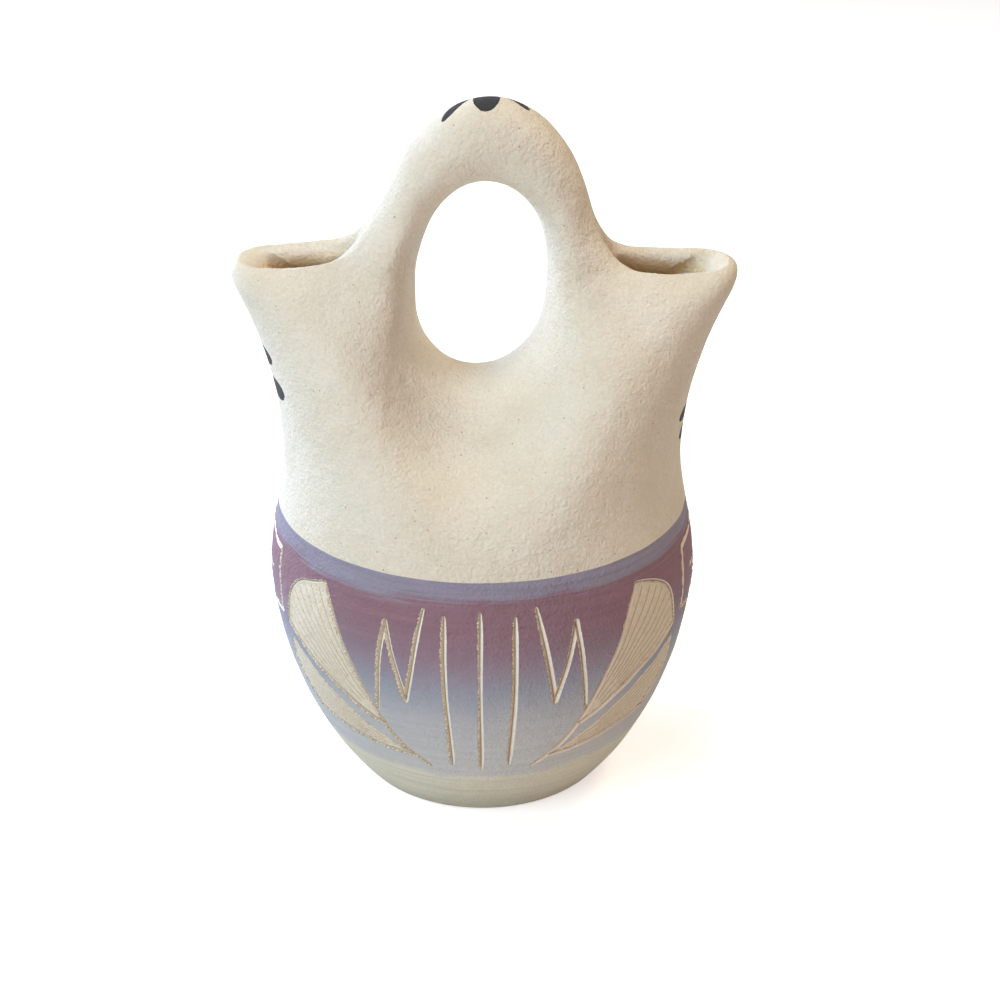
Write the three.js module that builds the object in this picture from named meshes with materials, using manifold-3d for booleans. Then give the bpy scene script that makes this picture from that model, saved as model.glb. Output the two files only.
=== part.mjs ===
// Two-spouted wedding vase in fired clay, millimetres, +Z up.
// The front of the vase faces -Y. The origin is the middle of the foot, on the surface the vase stands on.
// The clay members are cut from one form by level planes, so each sits face to face on the one below it.
import * as THREE from 'three';
import Module from 'manifold-3d';

// Driving dimensions: overall height and the body
const overallHeight = 200;
const footRadius = 37.5;
const footEdgeRound = 1.5;
const bellyRadius = 62;
const bellyHeight = 66;
const waistRadius = 56.8;
const waistHeight = 103;
const bowlFullness = 1.75;

// Driving dimensions: clay thickness
const wallThickness = 5;
const floorThickness = 6;
const floorCornerRound = 10;

// Driving dimensions: the two mouths, their rims below the crest of the handle
const rimBelowCrest = 43.1;
const mouthReach = 73;
const mouthHalfDepth = 13.5;
const lipThickness = 7.5;
const lipDepth = 18;
const lipRound = 8.5;
const spoutFlare = 2.1;
const shoulderFullness = 1.37;
const mouthMiddle = 60;
const leftRimTilt = 5.5;
const rightRimTilt = 2;
const leftRimRaise = 1;
const mouthsOffset = 1;

// Driving dimensions: the opening between the spouts, under the crown of the handle
const openingHalfWidth = 18.1;
const openingHeight = 52.4;
const crownThickness = 22.9;
const openingSpread = 0.45;
const saddleRadius = 20;
const openingBlend = 14;
const openingTrim = 4;

// Driving dimensions: the handle
const legThickness = 13.3;
const crownHalfDepth = 11.8;
const rootHalfDepth = 13;
const rootDepth = 8;
const rootEndRound = 6;
const rootBlend = 10;
const mouthBlend = 16;
const handleLean = 0.057;

// Driving dimensions: the lines etched into the band
const etchedHalfWidth = 0.75;
const etchedDepth = 0.8;

// Driving dimensions: where the clay members are luted together
const seamAboveBelly = 21;
const seamAboveSaddle = 8;
const seamAboveRim = 11;

// Fineness of the faceted surfaces
const turnedSides = 48;
const bowlSteps = 10;
const hollowSteps = 6;
const etchedStep = 12;
const cornerSteps = 3;
const footEdgeSteps = 2;
const shoulderCell = 6.5;
const spoutCell = 2.75;
const handleCell = 4.4;
const settleRounds = 6;
const evenRounds = 2;
const tiny = 1e-6;

// Worked out from the dimensions above
const rimHeight = overallHeight - rimBelowCrest;
const openingTop = overallHeight - crownThickness;
const openingBottom = openingTop - openingHeight;
const bodySeam = bellyHeight + seamAboveBelly;
const forkSeam = openingBottom + seamAboveSaddle;
const handleSeam = rimHeight + seamAboveRim;
const openingMiddle = (openingTop + openingBottom) / 2;
const openingHalfHeight = openingHeight / 2;
const handleHalfWidth = openingHalfWidth + legThickness;
const handleHalfHeight = overallHeight - openingMiddle;
const formReach = Math.max(mouthReach, bellyRadius) + mouthsOffset + shoulderCell;
const handleReach = handleHalfWidth + mouthBlend + handleCell;

// Blending curves
const clamp01 = (t) => Math.min(Math.max(t, 0), 1);

function ease(t) {
  const s = clamp01(t);
  return s * s * (3 - 2 * s);
}

function softMin(a, b, blend) {
  const near = Math.max(blend - Math.abs(a - b), 0) / blend;
  return Math.min(a, b) - (near * near * blend) / 4;
}

function softMax(a, b, blend) {
  return -softMin(-a, -b, blend);
}

// Distance to an ellipse, negative inside
function ellipseDistance(u, v, halfU, halfV) {
  const scaled = Math.hypot(u / halfU, v / halfV) + tiny;
  const slope = Math.hypot(u / halfU ** 2, v / halfV ** 2) + tiny;
  return ((scaled - 1) * scaled) / slope;
}

// Radius of the turned body: a full bowl up to the belly, then drawn in to the waist
function bodyRadius(z) {
  if (z < bellyHeight) {
    const drawnIn = 1 - (footRadius / bellyRadius) ** 2;
    const below = clamp01((bellyHeight - z) / bellyHeight);
    return bellyRadius * Math.sqrt(1 - drawnIn * below ** bowlFullness) - footEdgeInset(z);
  }
  const rise = ease((z - bellyHeight) / (waistHeight - bellyHeight));
  return bellyRadius + (waistRadius - bellyRadius) * rise;
}

function footEdgeInset(z) {
  const down = clamp01(1 - z / footEdgeRound);
  return footEdgeRound * (1 - Math.sqrt(1 - down * down));
}

// Half width of the form from side to side: above the waist it flares out to the mouths
function halfWidth(z) {
  const rise = Math.max((z - waistHeight) / (rimHeight - waistHeight), 0);
  return bodyRadius(z) + (mouthReach - waistRadius) * rise ** spoutFlare;
}

// Half depth of the form from front to back: above the body seam it closes in to the mouths
function halfDepth(z) {
  const rise = clamp01((z - bodySeam) / (rimHeight - bodySeam));
  return mouthHalfDepth + (bodyRadius(z) - mouthHalfDepth) * (1 - rise * rise) ** shoulderFullness;
}

// Level sections of the whole form are round-ended: two half circles joined by straight sides
function formDistance(x, y, z) {
  const endRadius = halfDepth(z);
  const straight = halfWidth(z) - endRadius;
  const shift = mouthsOffset * ease((z - bodySeam) / (rimHeight - bodySeam));
  return Math.hypot(Math.max(Math.abs(x - shift) - straight, 0), y) - endRadius;
}

const leanShift = (z) => handleLean * (z - openingMiddle);

// The oval opening spreads towards the front and the back, which rounds the saddle at its foot
function openingDistance(x, y, z) {
  const turn = openingSpread ** 2 * saddleRadius;
  const spread = Math.hypot(turn, openingSpread * y) - turn;
  const across = x - leanShift(z);
  return ellipseDistance(across, z - openingMiddle, openingHalfWidth + spread, openingHalfHeight + spread);
}

// The pot without its handle
function potDistance(x, y, z) {
  return softMax(formDistance(x, y, z), -openingDistance(x, y, z), openingBlend);
}

// The pot without its handle, trimmed round the opening
function outsideDistance(x, y, z) {
  return softMax(potDistance(x, y, z), -openingDistance(x, y, z), openingTrim);
}

// The hollow lies one wall thickness below the outside, measured square to the wall, which thickens to the lips
function cavityDistance(x, y, z) {
  const nearLip = ease((z - rimHeight) / lipDepth + 1);
  const thickness = wallThickness + (lipThickness - wallThickness) * nearLip;
  const steepness = slopeOf(outsideDistance, new THREE.Vector3(x, y, z)).length() + tiny;
  const belowOutside = outsideDistance(x, y, z) / steepness + thickness;
  return softMax(belowOutside, floorThickness - z, floorCornerRound);
}

// Height above the rim plane, which rises a little towards the handle on each side
function aboveRim(x, z) {
  const tilt = THREE.MathUtils.degToRad(x > 0 ? rightRimTilt : leftRimTilt);
  const raise = x > 0 ? 0 : leftRimRaise;
  return z - rimHeight - raise - Math.tan(tilt) * (mouthMiddle - Math.abs(x));
}

// The handle is an arch between the opening and a taller oval, round in section, deeper at its roots
function handleDistance(x, y, z) {
  const across = x - leanShift(z);
  const up = z - openingMiddle;
  const inner = ellipseDistance(across, up, openingHalfWidth, openingHalfHeight);
  const outer = ellipseDistance(across, up, handleHalfWidth, handleHalfHeight);
  const thickness = Math.max(inner - outer, tiny);
  const place = (inner + outer) / thickness;
  const climb = ease((z - rimHeight) / (openingTop - rimHeight));
  const depth = rootHalfDepth + (crownHalfDepth - rootHalfDepth) * climb;
  const scaled = Math.hypot(place, y / depth);
  const slope = Math.hypot((2 * place) / thickness, y / depth ** 2) + tiny;
  const arch = ((scaled - 1) * scaled) / slope;
  return softMax(arch, rimHeight - rootDepth - z, rootEndRound);
}

// The finished clay near the mouths and the handle, negative in the clay. The handle's roots sweep out
// further over the lips and into the mouths than over the outside of the pot.
function clayDistance(x, y, z) {
  const sweep = ease(-formDistance(x, y, z) / lipThickness);
  const blend = rootBlend + (mouthBlend - rootBlend) * sweep;
  const shell = Math.max(potDistance(x, y, z), -cavityDistance(x, y, z));
  const rimmed = softMax(shell, aboveRim(x, z), lipRound);
  const joined = softMin(rimmed, handleDistance(x, y, z), blend);
  return softMax(joined, -openingDistance(x, y, z), openingTrim);
}

// How fast a distance changes along the given axes at a point
function slopeOf(distance, point, axes = [0, 1, 2]) {
  const step = 0.02;
  const slope = new THREE.Vector3();
  for (const axis of axes) {
    const ahead = point.clone().setComponent(axis, point.getComponent(axis) + step);
    const behind = point.clone().setComponent(axis, point.getComponent(axis) - step);
    slope.setComponent(axis, (distance(...ahead) - distance(...behind)) / (2 * step));
  }
  return slope;
}

// Slides a point along the given axes onto the surface where the distance is zero, if that is within reach
function settle(distance, start, axes, reach) {
  const point = start.clone();
  for (let round = 0; round < settleRounds; round += 1) {
    const slope = slopeOf(distance, point, axes);
    point.addScaledVector(slope, -distance(...point) / (slope.lengthSq() + tiny));
  }
  return point.distanceTo(start) < reach ? point : start;
}

// Grid lines from one end to the other, with one more line outside each end
function gridLines(low, high, cell) {
  const cells = Math.max(Math.round((high - low) / cell), 1);
  const length = (high - low) / cells;
  return Array.from({ length: cells + 3 }, (unused, line) => low + (line - 1) * length);
}

// Samples a distance in a box, with outside values all round so that the surface closes at the box
function sampleGrid(distance, box, cell) {
  const ends = [0, 1, 2].map((axis) => [box.min.getComponent(axis), box.max.getComponent(axis)]);
  const lines = ends.map(([low, high]) => gridLines(low, high, cell));
  const counts = lines.map((line) => line.length);
  const place = (at) => new THREE.Vector3(...at.map((step, axis) => lines[axis][step]));
  const index = (at) => (at[0] * counts[1] + at[1]) * counts[2] + at[2];
  const values = new Float32Array(counts[0] * counts[1] * counts[2]);
  for (const at of gridSteps(counts)) {
    const onRim = at.some((step, axis) => step === 0 || step === counts[axis] - 1);
    values[index(at)] = onRim ? cell : distance(...place(at));
  }
  const endLevels = { 0: box.min.z, [counts[2] - 2]: box.max.z };
  return { counts, cell, endLevels, place, index, value: (at) => values[index(at)] };
}

function* gridSteps(counts) {
  for (let i = 0; i < counts[0]; i += 1) {
    for (let j = 0; j < counts[1]; j += 1) {
      for (let k = 0; k < counts[2]; k += 1) yield [i, j, k];
    }
  }
}

const addSteps = (at, by) => at.map((step, axis) => step + by[axis]);
const cellCorners = [...gridSteps([2, 2, 2])];
const cellEdges = cellCorners.flatMap((corner) => [0, 1, 2]
  .filter((axis) => corner[axis] === 0)
  .map((axis) => [corner, corner.map((step, other) => (other === axis ? 1 : step))]));

const isInside = (grid, at) => grid.value(at) < 0;

// Where the surface crosses the edges of one cell
function crossingPoints(grid, at) {
  const found = [];
  for (const [from, to] of cellEdges) {
    const start = addSteps(at, from);
    const end = addSteps(at, to);
    if (isInside(grid, start) !== isInside(grid, end)) {
      const share = grid.value(start) / (grid.value(start) - grid.value(end));
      found.push(grid.place(start).lerp(grid.place(end), share));
    }
  }
  return found;
}

function middleOf(points) {
  const middle = new THREE.Vector3();
  for (const point of points) middle.addScaledVector(point, 1 / points.length);
  return middle;
}

// The one point that stands for a crossed cell: on the surface or, in an end layer, flat on the end level
function cellPoint(distance, grid, at) {
  const crossings = crossingPoints(grid, at);
  if (crossings.length === 0) return null;
  const level = grid.endLevels[at[2]];
  if (level === undefined) return settle(distance, middleOf(crossings), [0, 1, 2], grid.cell);
  const outline = crossings.filter((crossing) => crossing.z === level);
  if (outline.length > 0) return settle(distance, middleOf(outline), [0, 1], grid.cell);
  return middleOf(crossings).setZ(level);
}

// Spaces the points evenly: those off the end levels move amid their neighbours and settle again
function evenOut(distance, grid, points, triangles) {
  const levels = Object.values(grid.endLevels);
  const neighbours = points.map(() => new Set());
  triangles.forEach((corner, which) => {
    const next = triangles[which % 3 === 2 ? which - 2 : which + 1];
    neighbours[corner].add(points[next]);
    neighbours[next].add(points[corner]);
  });
  return points.map((point, which) => (levels.includes(point.z)
    ? point
    : settle(distance, middleOf([...neighbours[which]]), [0, 1, 2], grid.cell)));
}

// Closed surface of a form between two level planes: a point for each crossed cell, squares between them
function surfaceMesh(distance, box, cell) {
  const grid = sampleGrid(distance, box, cell);
  const pointOfCell = new Map();
  let points = [];
  const triangles = [];
  for (const at of gridSteps(grid.counts.map((count) => count - 1))) {
    const point = cellPoint(distance, grid, at);
    if (point) {
      pointOfCell.set(grid.index(at), points.length);
      points.push(point);
    }
  }
  for (const at of gridSteps(grid.counts.map((count) => count - 1))) {
    for (const axis of [0, 1, 2]) triangles.push(...edgeSquare(grid, pointOfCell, at, axis));
  }
  for (let round = 0; round < evenRounds; round += 1) points = evenOut(distance, grid, points, triangles);
  return { points, triangles };
}

// The square round one grid edge, as two triangles, where the surface crosses that edge
function edgeSquare(grid, pointOfCell, at, axis) {
  const side = (axis + 1) % 3;
  const other = (axis + 2) % 3;
  const next = at.map((step, which) => (which === axis ? step + 1 : step));
  if (at[side] === 0 || at[other] === 0 || isInside(grid, at) === isInside(grid, next)) return [];
  const cellBehind = (backSide, backOther) => {
    const cellAt = [...at];
    cellAt[side] -= backSide;
    cellAt[other] -= backOther;
    return pointOfCell.get(grid.index(cellAt));
  };
  const square = [cellBehind(1, 1), cellBehind(0, 1), cellBehind(0, 0), cellBehind(1, 0)];
  const [a, b, c, d] = isInside(grid, at) ? square : square.reverse();
  return [a, b, c, a, c, d];
}

// The part of a form between two level planes, flat at both, from xLow to xHigh
function levelSlice(distance, zLow, zHigh, cell, xLow = -formReach, xHigh = formReach) {
  const low = new THREE.Vector3(xLow, -formReach, zLow);
  const high = new THREE.Vector3(xHigh, formReach, zHigh);
  return surfaceMesh(distance, new THREE.Box3(low, high), cell);
}

function meshGeometry(vertices, indices) {
  const geometry = new THREE.BufferGeometry();
  geometry.setAttribute('position', new THREE.BufferAttribute(new Float32Array(vertices), 3));
  geometry.setIndex(new THREE.BufferAttribute(new Uint32Array(indices), 1));
  geometry.computeVertexNormals();
  return geometry;
}

const coordinates = (points) => points.flatMap((point) => point.toArray());

const wasm = await Module();
wasm.setup();

function solid({ points, triangles }) {
  const vertProperties = new Float32Array(coordinates(points));
  const triVerts = new Uint32Array(triangles);
  return new wasm.Manifold(new wasm.Mesh({ numProp: 3, vertProperties, triVerts }));
}

// A turned surface repeats the points where it closes, so these are merged
function closedSolid(geometry) {
  const vertProperties = geometry.attributes.position.array;
  const triVerts = Uint32Array.from(geometry.index.array);
  const mesh = new wasm.Mesh({ numProp: 3, vertProperties, triVerts });
  mesh.merge();
  return new wasm.Manifold(mesh);
}

function geometryOf(shape) {
  const mesh = shape.getMesh();
  return meshGeometry(mesh.vertProperties, mesh.triVerts);
}

// Fired clay, as the photographed pieces show it
const paleClay = { color: 0xe6e0d0, roughness: 0.92, metalness: 0 };
const slippedClay = { color: 0x8d7a8c, roughness: 0.88, metalness: 0 };
const footClay = { color: 0xb4ae97, roughness: 0.92, metalness: 0 };

function clayPiece(name, geometry, finish) {
  const mesh = new THREE.Mesh(geometry, new THREE.MeshStandardMaterial(finish));
  mesh.name = name;
  return mesh;
}

// Evenly spaced heights, both ends included
function heights(low, high, steps) {
  return Array.from({ length: steps + 1 }, (unused, step) => low + ((high - low) * step) / steps);
}

function turnedGeometry(profile) {
  const geometry = new THREE.LatheGeometry(profile, turnedSides);
  geometry.rotateX(Math.PI / 2);
  return geometry;
}

// Flat round slab that the pot stands on and is built up from
function baseDisc() {
  const edge = [...heights(0, footEdgeRound, footEdgeSteps), floorThickness];
  const profile = [
    new THREE.Vector2(0, 0),
    ...edge.map((z) => new THREE.Vector2(bodyRadius(z), z)),
    new THREE.Vector2(0, floorThickness),
  ];
  return clayPiece('base_disc', turnedGeometry(profile), footClay);
}

// Inner radius of the bowl, drawn in to a rounded corner at the floor
function bowlInnerRadius(z) {
  const down = clamp01(1 - (z - floorThickness) / floorCornerRound);
  return bodyRadius(z) - wallThickness - floorCornerRound * (1 - Math.sqrt(1 - down * down));
}

// Lines etched in one quarter of the band: degrees from the front, and shares of the bowl's height
const rainLines = [
  [[0, 0.91], [0, 0.28]],
  [[9, 0.89], [8.5, 0.3]],
];
const lightning = [
  [[14, 0.91], [19.5, 0.57], [24.5, 0.85], [29, 0.5]],
];
const plumes = [
  [[15, 0.28], [26, 0.42], [44, 0.91]],
  [[44, 0.91], [57, 0.84], [62, 0.68], [27, 0.44]],
  [[20, 0.32], [62, 0.63], [62, 0.5], [55, 0.38], [20, 0.32]],
];
const hookedFret = [
  [[90, 0.92], [68, 0.91], [66, 0.7], [82, 0.67], [84, 0.8], [75, 0.8]],
];
const mountains = [
  [[90, 0.55], [76, 0.3]],
  [[90, 0.43], [82, 0.3]],
];
const quarterLines = [...rainLines, ...lightning, ...plumes, ...hookedFret, ...mountains];

// A place on the bowl's wall, pushed outward by the given distance
function wallPoint([angle, share], outward = 0) {
  const turn = THREE.MathUtils.degToRad(angle);
  const z = share * bodySeam;
  const slope = (bodyRadius(z + tiny) - bodyRadius(z - tiny)) / (2 * tiny);
  const outside = new THREE.Vector3(Math.sin(turn), -Math.cos(turn), 0);
  const normal = outside.clone().setZ(-slope).normalize();
  return outside.multiplyScalar(bodyRadius(z)).setZ(z).addScaledVector(normal, outward);
}

// One stretch of an etched line, as a wedge that follows the wall and stands a little out of it
function etchedWedge(from, to) {
  const length = wallPoint(from).distanceTo(wallPoint(to));
  const spare = etchedHalfWidth / length;
  const stations = heights(-spare, 1 + spare, Math.ceil(length / etchedStep));
  const placeAt = (t) => from.map((start, which) => start + (to[which] - start) * t);
  const points = stations.flatMap((t) => {
    const place = placeAt(t);
    const along = wallPoint(placeAt(t + spare)).sub(wallPoint(placeAt(t - spare)));
    const outward = wallPoint(place, 1).sub(wallPoint(place));
    const across = along.cross(outward).setLength(2 * etchedHalfWidth);
    const top = wallPoint(place, etchedDepth);
    return [top.clone().add(across), top.clone().sub(across), wallPoint(place, -etchedDepth)];
  });
  const last = points.length - 3;
  const triangles = [0, 1, 2, last, last + 2, last + 1];
  for (let start = 0; start < last; start += 3) {
    for (const side of [0, 1, 2]) {
      const a = start + side;
      const b = start + ((side + 1) % 3);
      triangles.push(a, a + 3, b + 3, a, b + 3, b);
    }
  }
  return solid({ points, triangles });
}

// The lines of one quarter, mirrored to both sides of the front and turned to the back
function etchedWedges() {
  const stretches = quarterLines.flatMap((line) => line.slice(1).map((to, before) => [line[before], to]));
  return stretches.flatMap(([from, to]) => {
    const onMirror = from[0] === 0 && to[0] === 0;
    const sides = onMirror ? [1] : [1, -1];
    return sides.flatMap((side) => [0, 180].map((turn) => {
      const place = ([angle, share]) => [turn + side * angle, share];
      return etchedWedge(place(from), place(to));
    }));
  });
}

// Round bowl on the slab, up to the joint above the belly, with the etched band round it
function bowl() {
  const cornerTop = floorThickness + floorCornerRound;
  const onOutside = (z) => new THREE.Vector2(bodyRadius(z), z);
  const onInside = (z) => new THREE.Vector2(bowlInnerRadius(z), z);
  const profile = [
    ...heights(floorThickness, bodySeam, bowlSteps).map(onOutside),
    ...heights(cornerTop, bodySeam, hollowSteps).reverse().map(onInside),
    ...heights(floorThickness, cornerTop, cornerSteps).reverse().slice(1).map(onInside),
    onOutside(floorThickness),
  ];
  const turned = closedSolid(turnedGeometry(profile));
  const etched = turned.subtract(wasm.Manifold.union(etchedWedges()));
  return clayPiece('bowl', geometryOf(etched), slippedClay);
}

// Shoulder coils that close in from front and back and carry the saddle under the opening
function shoulder() {
  const layers = Math.round((forkSeam - bodySeam) / shoulderCell);
  const layer = (forkSeam - bodySeam) / layers;
  const outside = levelSlice(outsideDistance, bodySeam, forkSeam, layer);
  const cavity = levelSlice(cavityDistance, bodySeam - layer, forkSeam + layer, layer);
  return clayPiece('shoulder', geometryOf(solid(outside).subtract(solid(cavity))), paleClay);
}

// One spout from the fork up to its mouth, with the root of the handle on its inner side
function spout(name, xLow, xHigh) {
  const { points, triangles } = levelSlice(clayDistance, forkSeam, handleSeam, spoutCell, xLow, xHigh);
  return clayPiece(name, meshGeometry(coordinates(points), triangles), paleClay);
}

// Arched coil from one spout to the other
function handle() {
  const top = overallHeight + handleCell;
  const arch = levelSlice(clayDistance, handleSeam, top, handleCell, -handleReach, handleReach);
  return clayPiece('handle', meshGeometry(coordinates(arch.points), arch.triangles), paleClay);
}

const vase = new THREE.Group();
vase.add(baseDisc());
vase.add(bowl());
vase.add(shoulder());
vase.add(spout('left_spout', -formReach, 0));
vase.add(spout('right_spout', 0, formReach));
vase.add(handle());

export default vase;
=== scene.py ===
# Looks of the two-spouted wedding vase: hand-smoothed clay, coloured slip, etched band and painted marks.
# Metres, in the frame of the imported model: +Z up, the front of the vase faces -Y.
import math

import bpy
import numpy as np
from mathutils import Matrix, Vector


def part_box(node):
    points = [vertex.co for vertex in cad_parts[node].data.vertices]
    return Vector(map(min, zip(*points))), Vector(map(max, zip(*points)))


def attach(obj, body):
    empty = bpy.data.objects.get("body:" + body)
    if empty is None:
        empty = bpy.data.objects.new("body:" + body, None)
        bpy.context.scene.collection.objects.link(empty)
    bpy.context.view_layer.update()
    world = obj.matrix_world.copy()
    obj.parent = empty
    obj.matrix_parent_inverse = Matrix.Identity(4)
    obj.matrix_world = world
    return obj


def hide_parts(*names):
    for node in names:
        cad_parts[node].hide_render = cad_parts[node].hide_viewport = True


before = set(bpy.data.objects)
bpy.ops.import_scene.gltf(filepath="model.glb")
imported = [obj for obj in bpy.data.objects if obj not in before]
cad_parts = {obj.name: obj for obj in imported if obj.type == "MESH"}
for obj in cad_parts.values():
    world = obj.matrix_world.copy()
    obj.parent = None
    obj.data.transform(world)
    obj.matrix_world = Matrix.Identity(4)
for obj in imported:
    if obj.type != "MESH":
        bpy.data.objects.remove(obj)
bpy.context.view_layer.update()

MM = 0.001
TINY = 1e-9

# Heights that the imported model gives: where the clay members meet
FLOOR_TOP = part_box("base_disc")[1].z
BODY_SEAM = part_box("bowl")[1].z
FORK_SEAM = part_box("left_spout")[0].z
HANDLE_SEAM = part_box("handle")[0].z

# Form of the vase
CREST = 200 * MM
FOOT_RADIUS = 37.5 * MM
FOOT_EDGE_ROUND = 1.5 * MM
BELLY_RADIUS = 62 * MM
BELLY_HEIGHT = 66 * MM
WAIST_RADIUS = 56.8 * MM
WAIST_HEIGHT = 103 * MM
BOWL_FULLNESS = 1.75
WALL = 5 * MM
FLOOR_CORNER_ROUND = 10 * MM
RIM_HEIGHT = CREST - 43.1 * MM
MOUTH_REACH = 73 * MM
MOUTH_HALF_DEPTH = 13.5 * MM
MOUTH_MIDDLE = 60 * MM
MOUTHS_OFFSET = 1 * MM
LIP_THICKNESS = 7.5 * MM
LIP_DEPTH = 18 * MM
END_LIP = 2.4 * MM
END_LIP_START = 48 * MM
END_LIP_LENGTH = 17 * MM
RIM_SAG = 1.4 * MM
RIM_SAG_START = 32 * MM
LIP_ROUND = 8.5 * MM
SPOUT_FLARE = 2.1
SHOULDER_FULLNESS = 1.37
LEFT_RIM_TILT = math.radians(5.5)
RIGHT_RIM_TILT = math.radians(2)
LEFT_RIM_RAISE = 1 * MM
OPENING_HALF_WIDTH = 18.1 * MM
OPENING_HALF_HEIGHT = 26.2 * MM
CROWN_THICKNESS = 22.9 * MM
OPENING_SPREAD = 0.45
SADDLE_RADIUS = 20 * MM
OPENING_BLEND = 14 * MM
OPENING_TRIM = 4 * MM
LEG_THICKNESS = 13.3 * MM
CROWN_HALF_DEPTH = 11.8 * MM
ROOT_HALF_DEPTH = 13 * MM
ROOT_DEPTH = 8 * MM
ROOT_END_ROUND = 6 * MM
ROOT_BLEND = 10 * MM
MOUTH_BLEND = 16 * MM
HANDLE_LEAN = 0.057

OPENING_TOP = CREST - CROWN_THICKNESS
OPENING_MIDDLE = OPENING_TOP - OPENING_HALF_HEIGHT
HANDLE_HALF_WIDTH = OPENING_HALF_WIDTH + LEG_THICKNESS
HANDLE_HALF_HEIGHT = CREST - OPENING_MIDDLE
FORM_REACH = MOUTH_REACH + MOUTHS_OFFSET + 4 * MM

# Unevenness left by shaping and smoothing by hand
HAND_SWELL = 0.07 * MM
HAND_WAVE = 23 * MM
SWELL_START = 4 * MM

# Fineness of the meshes
SHOULDER_CELL = 1.1 * MM
SPOUT_CELL = 0.8 * MM
HANDLE_CELL = 0.9 * MM
WALL_COLUMNS = 960
ETCHED_ROWS = 160
ETCHED_MARGIN = 2 * MM
PLAIN_ROWS = 10
TOP_ROWS = 4
HOLLOW_ROWS = 8
CORNER_ROWS = 5
FOOT_ROWS = 7


# Blending curves
def ease(t):
    s = np.clip(t, 0, 1)
    return s * s * (3 - 2 * s)


def soft_min(a, b, blend):
    near = np.maximum(blend - np.abs(a - b), 0) / blend
    return np.minimum(a, b) - near * near * blend / 4


def soft_max(a, b, blend):
    return -soft_min(-a, -b, blend)


def ellipse_distance(u, v, half_u, half_v):
    scaled = np.hypot(u / half_u, v / half_v) + TINY
    slope = np.hypot(u / half_u**2, v / half_v**2) + TINY
    return (scaled - 1) * scaled / slope


# Form of the clay, as distances that are negative inside
def hand_swell(x, y, z):
    k = 2 * math.pi / HAND_WAVE
    waves = np.sin(k * (x + 0.6 * z) + 1.3) * np.cos(k * (0.8 * y - 0.5 * z))
    waves = waves + 0.6 * np.sin(k * (1.7 * z - 0.9 * x) + 0.4) * np.cos(k * 1.6 * y + 2.1)
    return HAND_SWELL * waves


def body_radius(z):
    drawn_in = 1 - (FOOT_RADIUS / BELLY_RADIUS) ** 2
    below = np.clip((BELLY_HEIGHT - z) / BELLY_HEIGHT, 0, 1)
    down = np.clip(1 - z / FOOT_EDGE_ROUND, 0, 1)
    edge_inset = FOOT_EDGE_ROUND * (1 - np.sqrt(1 - down * down))
    low = BELLY_RADIUS * np.sqrt(1 - drawn_in * below**BOWL_FULLNESS) - edge_inset
    rise = ease((z - BELLY_HEIGHT) / (WAIST_HEIGHT - BELLY_HEIGHT))
    return np.where(z < BELLY_HEIGHT, low, BELLY_RADIUS + (WAIST_RADIUS - BELLY_RADIUS) * rise)


def form_distance(x, y, z):
    flare = np.maximum((z - WAIST_HEIGHT) / (RIM_HEIGHT - WAIST_HEIGHT), 0) ** SPOUT_FLARE
    half_width = body_radius(z) + (MOUTH_REACH - WAIST_RADIUS) * flare
    rise = np.clip((z - BODY_SEAM) / (RIM_HEIGHT - BODY_SEAM), 0, 1)
    fullness = (1 - rise * rise) ** SHOULDER_FULLNESS
    half_depth = MOUTH_HALF_DEPTH + (body_radius(z) - MOUTH_HALF_DEPTH) * fullness
    shifted = np.abs(x - MOUTHS_OFFSET * ease(rise))
    past_ends = np.maximum(shifted - (half_width - half_depth), 0)
    return np.hypot(past_ends, y) - half_depth


def opening_distance(x, y, z):
    turn = OPENING_SPREAD**2 * SADDLE_RADIUS
    spread = np.hypot(turn, OPENING_SPREAD * y) - turn
    across = x - HANDLE_LEAN * (z - OPENING_MIDDLE)
    half_width = OPENING_HALF_WIDTH + spread
    return ellipse_distance(across, z - OPENING_MIDDLE, half_width, OPENING_HALF_HEIGHT + spread)


def pot_distance(x, y, z):
    return soft_max(form_distance(x, y, z), -opening_distance(x, y, z), OPENING_BLEND)


def outside_distance(x, y, z):
    return soft_max(pot_distance(x, y, z), -opening_distance(x, y, z), OPENING_TRIM)


def cavity_distance(x, y, z):
    lip = LIP_THICKNESS + END_LIP * ease((np.abs(x) - END_LIP_START) / END_LIP_LENGTH)
    thickness = WALL + (lip - WALL) * ease((z - RIM_HEIGHT) / LIP_DEPTH + 1)
    steepness = np.linalg.norm(slope_of(outside_distance, np.stack([x, y, z], -1)), axis=-1)
    below_outside = outside_distance(x, y, z) / (steepness + TINY) + thickness
    return soft_max(below_outside, FLOOR_TOP - z, FLOOR_CORNER_ROUND)


def above_rim(x, y, z):
    tilt = np.where(x > 0, math.tan(RIGHT_RIM_TILT), math.tan(LEFT_RIM_TILT))
    rim = RIM_HEIGHT + np.where(x > 0, 0, LEFT_RIM_RAISE)
    along = np.clip((np.abs(x) - RIM_SAG_START) / (MOUTH_REACH - RIM_SAG_START), 0, 1)
    sag = RIM_SAG * np.sin(math.pi * along) * ease(0.5 - y / MOUTH_HALF_DEPTH)
    return z - rim + sag - tilt * (MOUTH_MIDDLE - np.abs(x))


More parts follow.
